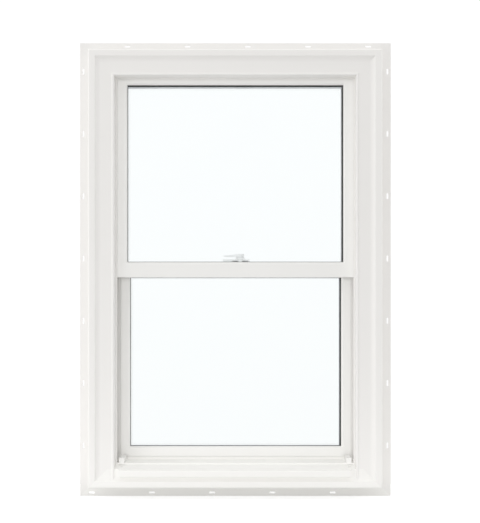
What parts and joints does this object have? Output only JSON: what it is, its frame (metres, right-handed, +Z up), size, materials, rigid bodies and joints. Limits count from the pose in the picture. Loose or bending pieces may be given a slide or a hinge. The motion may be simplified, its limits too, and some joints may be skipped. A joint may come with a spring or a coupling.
{
  "type": "sash window",
  "caption": "Double-hung sash window in a casing frame with a nailing fin; the glazed sashes slide past each other and lock together at their meeting rails.",
  "frame": {"origin": "back face of the sill's nailing fin, at the window's middle, on the line of its nail slots", "axes": "+X across the window to the right as seen from outdoors, +Y indoors through the wall, +Z up"},
  "size_m": [0.6668, 0.1014, 0.9715],
  "materials": {
    "frame_vinyl": "extruded rigid vinyl, satin, slightly warm white",
    "sill_vinyl": "extruded rigid vinyl, satin",
    "sash_vinyl": "extruded rigid vinyl, satin",
    "glass": "clear float glass",
    "spacer_aluminium": "mill finish",
    "edge_sealant": "black polysulphide sealant",
    "foam_tape": "grey closed-cell foam tape",
    "pile": "woven grey polypropylene pile",
    "hardware_steel": "zinc-plated steel",
    "balance_nylon": "moulded nylon",
    "spring_steel": "bright stainless spring strip",
    "latch_plastic": "moulded white nylon",
    "lock_zinc": "die-cast zinc with white powder coat",
    "bulb_rubber": "dark flexible vinyl bulb"
  },
  "bodies": {
    "frame": {"frame_head": "frame_vinyl", "frame_left_jamb": "frame_vinyl", "frame_right_jamb": "frame_vinyl", "frame_sill": "sill_vinyl", "sill_end_blocks": "sill_vinyl", "coil_box_screws": "hardware_steel", "upper_left_coil": "spring_steel", "upper_left_coil_box": "balance_nylon", "upper_right_coil": "spring_steel", "upper_right_coil_box": "balance_nylon", "lower_left_coil": "spring_steel", "lower_left_coil_box": "balance_nylon", "lower_right_coil": "spring_steel", "lower_right_coil_box": "balance_nylon"},
    "upper_sash": {"upper_top_rail": "sash_vinyl", "upper_check_rail": "sash_vinyl", "upper_left_stile": "sash_vinyl", "upper_right_stile": "sash_vinyl", "keeper": "lock_zinc", "keeper_screws": "hardware_steel", "upper_outer_pane": "glass", "upper_inner_pane": "glass", "upper_spacer": "spacer_aluminium", "upper_edge_seal": "edge_sealant", "upper_glazing_tape": "foam_tape", "upper_glazing_beads": "sash_vinyl", "upper_pile_strips": "pile", "upper_pivot_bars": "hardware_steel", "upper_left_shoe": "balance_nylon", "upper_right_shoe": "balance_nylon", "upper_left_ribbon": "spring_steel", "upper_right_ribbon": "spring_steel", "upper_left_latch_bezel": "latch_plastic", "upper_right_latch_bezel": "latch_plastic"},
    "lower_sash": {"lower_meeting_rail": "sash_vinyl", "lower_bottom_rail": "sash_vinyl", "lower_left_stile": "sash_vinyl", "lower_right_stile": "sash_vinyl", "lock_housing": "lock_zinc", "lock_screws": "hardware_steel", "sill_bulb_seal": "bulb_rubber", "lower_outer_pane": "glass", "lower_inner_pane": "glass", "lower_spacer": "spacer_aluminium", "lower_edge_seal": "edge_sealant", "lower_glazing_tape": "foam_tape", "lower_glazing_beads": "sash_vinyl", "lower_pile_strips": "pile", "lower_pivot_bars": "hardware_steel", "lower_left_shoe": "balance_nylon", "lower_right_shoe": "balance_nylon", "lower_left_ribbon": "spring_steel", "lower_right_ribbon": "spring_steel", "lower_left_latch_bezel": "latch_plastic", "lower_right_latch_bezel": "latch_plastic"},
    "lock_lever": {"lock_lever": "lock_zinc"},
    "upper_left_latch": {"upper_left_latch": "latch_plastic"},
    "upper_right_latch": {"upper_right_latch": "latch_plastic"},
    "lower_left_latch": {"lower_left_latch": "latch_plastic"},
    "lower_right_latch": {"lower_right_latch": "latch_plastic"}
  },
  "joints": [
    {"name": "lower_sash_slide", "type": "slide", "parent": "frame", "child": "lower_sash", "axis": [0, 0, 1], "range_m": [0, 0.37], "deforming": ["lower_left_ribbon", "lower_right_ribbon"]},
    {"name": "upper_sash_slide", "type": "slide", "parent": "frame", "child": "upper_sash", "axis": [0, 0, -1], "range_m": [0, 0.37], "deforming": ["upper_left_ribbon", "upper_right_ribbon"]},
    {"name": "lock_turn", "type": "hinge", "parent": "lower_sash", "child": "lock_lever", "pos_m": [0.01, 0.03, 0.4942], "axis": [0, 0, -1], "range_deg": [0, 180]},
    {"name": "upper_left_latch_slide", "type": "slide", "parent": "upper_sash", "child": "upper_left_latch", "axis": [1, 0, 0], "range_m": [0, 0.009], "stiffness_N_per_m": 150, "springref_m": -0.004},
    {"name": "upper_right_latch_slide", "type": "slide", "parent": "upper_sash", "child": "upper_right_latch", "axis": [-1, 0, 0], "range_m": [0, 0.009], "stiffness_N_per_m": 150, "springref_m": -0.004},
    {"name": "lower_left_latch_slide", "type": "slide", "parent": "lower_sash", "child": "lower_left_latch", "axis": [1, 0, 0], "range_m": [0, 0.009], "stiffness_N_per_m": 150, "springref_m": -0.004},
    {"name": "lower_right_latch_slide", "type": "slide", "parent": "lower_sash", "child": "lower_right_latch", "axis": [-1, 0, 0], "range_m": [0, 0.009], "stiffness_N_per_m": 150, "springref_m": -0.004}
  ]
}
